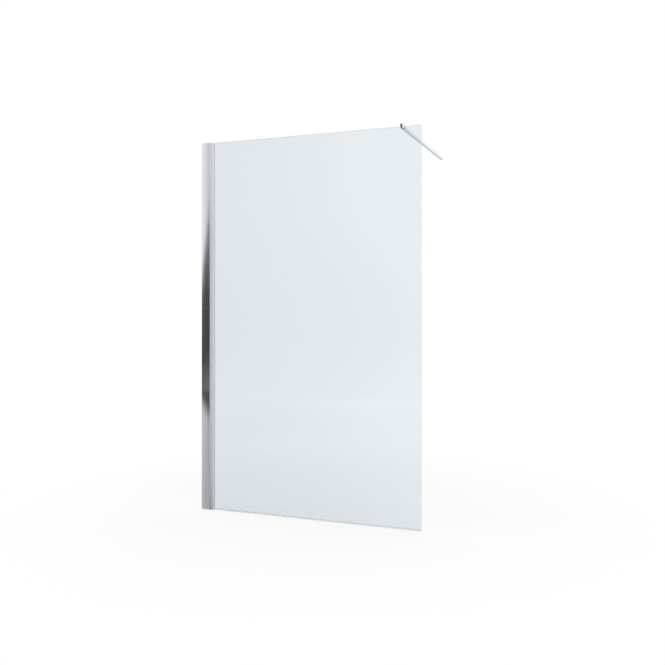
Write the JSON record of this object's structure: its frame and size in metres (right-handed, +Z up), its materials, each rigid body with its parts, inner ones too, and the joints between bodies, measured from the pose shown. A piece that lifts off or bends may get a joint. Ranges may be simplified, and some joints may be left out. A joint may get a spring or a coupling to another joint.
{
  "type": "shower divider panel",
  "caption": "Fixed clear glass shower panel in an adjustable chrome wall channel, braced by a square support bar clamped over its top edge.",
  "frame": {"origin": "on the side wall's face behind the wall channel, in the middle of the glass thickness, at floor level", "axes": "+X from the side wall to the free edge of the glass, +Y from the glass towards the rear wall along the support bar, +Z up"},
  "size_m": [1.2, 0.833, 1.963],
  "materials": {
    "channel_chrome": "polished aluminium extrusion with a bright chrome look",
    "channel_satin": "satin bright-anodised aluminium extrusion",
    "cap_chrome": "chrome-plated moulded cover",
    "fitting_chrome": "polished chrome plate on brass",
    "safety_glass": "clear toughened float glass, polished edges",
    "gasket": "translucent grey glazing gasket",
    "setting_block": "hard moulded plastic",
    "clear_strip": "clear extruded plastic",
    "stainless": "stainless steel fasteners",
    "clamp_pad": "soft black pad"
  },
  "bodies": {
    "wall_frame": {"wall_channel": "channel_chrome", "wall_channel_cap": "cap_chrome", "lock_screws": "stainless", "lock_washers": "stainless", "nut_plates": "stainless", "screw_covers": "cap_chrome"},
    "glass_leaf": {"glass_channel": "channel_satin", "front_gasket": "gasket", "rear_gasket": "gasket", "edge_setting_blocks": "setting_block", "foot_setting_block": "setting_block", "glass_panel": "safety_glass", "bottom_strip": "clear_strip"},
    "bar_assembly": {"clamp_block": "fitting_chrome", "clamp_front_pad": "clamp_pad", "clamp_rear_pad": "clamp_pad", "clamp_top_pad": "clamp_pad", "clamp_screw": "stainless", "support_bar": "fitting_chrome", "front_bar_screw": "stainless", "rear_bar_screw": "stainless"},
    "wall_end": {"wall_fitting": "fitting_chrome"}
  },
  "joints": [
    {"name": "glass_adjust", "type": "slide", "parent": "wall_frame", "child": "glass_leaf", "axis": [1, 0, 0], "range_m": [-0.005, 0.01]},
    {"name": "clamp_slide", "type": "slide", "parent": "glass_leaf", "child": "bar_assembly", "axis": [1, 0, 0], "range_m": [-1, 0.075]},
    {"name": "wall_end_slide", "type": "slide", "parent": "bar_assembly", "child": "wall_end", "axis": [0, 1, 0], "range_m": [0, 0.02]}
  ]
}
